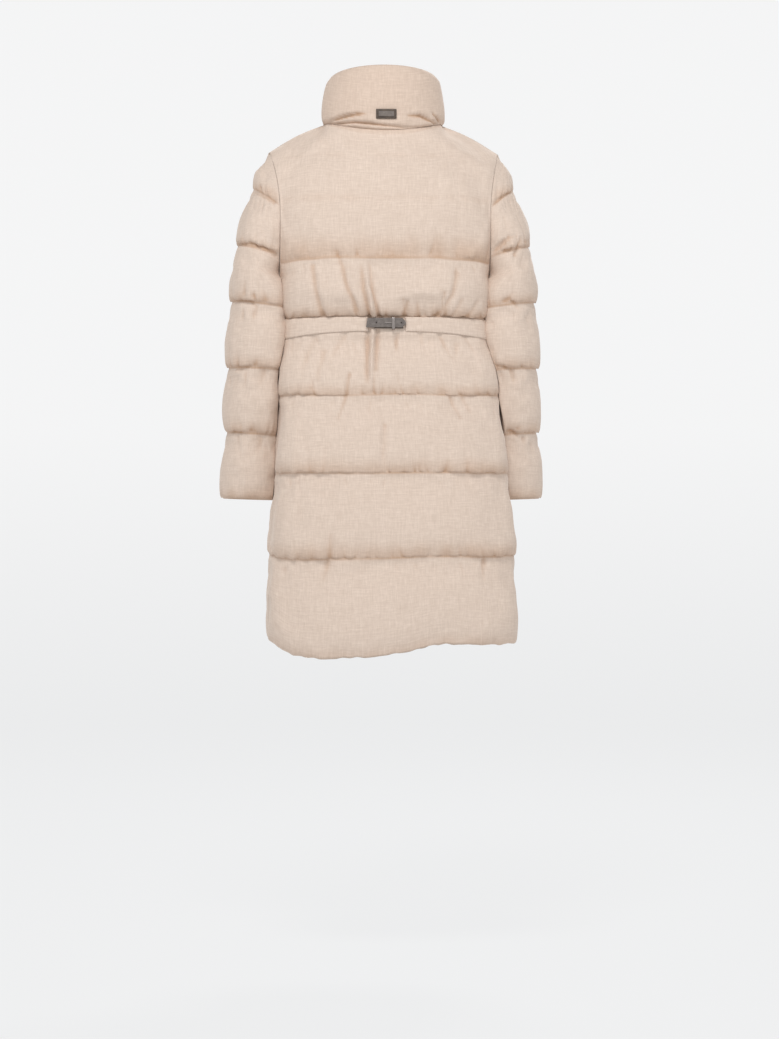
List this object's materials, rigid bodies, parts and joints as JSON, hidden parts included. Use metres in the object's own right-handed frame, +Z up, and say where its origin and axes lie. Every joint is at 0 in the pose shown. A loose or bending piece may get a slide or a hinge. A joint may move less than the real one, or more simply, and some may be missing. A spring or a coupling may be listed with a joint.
{
  "type": "long puffer coat",
  "caption": "Knee-length down coat in wool cloth with horizontal quilting, a tall stand collar, a snap-fastened front strip and a half belt buckled across the back, in its hollow worn form.",
  "frame": {"origin": "middle of the neck, level with the seam at the nape, where the wearer's shoulders hold the coat", "axes": "+Z up, front of the coat towards -Y, wearer's left towards +X"},
  "size_m": [0.5854, 0.3177, 1.0483],
  "materials": {
    "wool_cloth": "matte brushed wool, beige melange, padded",
    "strap_leather": "smooth grey-brown leather, satin",
    "buckle_metal": "gunmetal, satin",
    "plate_leather": "dark brown leather, satin",
    "plate_inset": "plain greige leather, bare",
    "snap_metal": "dark gunmetal, satin"
  },
  "bodies": {
    "root": {"back": "wool_cloth", "front_left": "wool_cloth", "front_right": "wool_cloth", "sleeve_left": "wool_cloth", "sleeve_right": "wool_cloth", "collar": "wool_cloth", "placket": "wool_cloth", "belt_left": "wool_cloth", "belt_right": "wool_cloth", "snap_1": "snap_metal", "snap_2": "snap_metal", "snap_3": "snap_metal", "snap_4": "snap_metal", "snap_5": "snap_metal", "snap_6": "snap_metal", "snap_7": "snap_metal", "strap": "strap_leather", "strap_base": "strap_leather", "buckle": "buckle_metal", "prong": "buckle_metal", "collar_plate": "plate_leather", "collar_plate_inset": "plate_inset"}
  },
  "joints": []
}
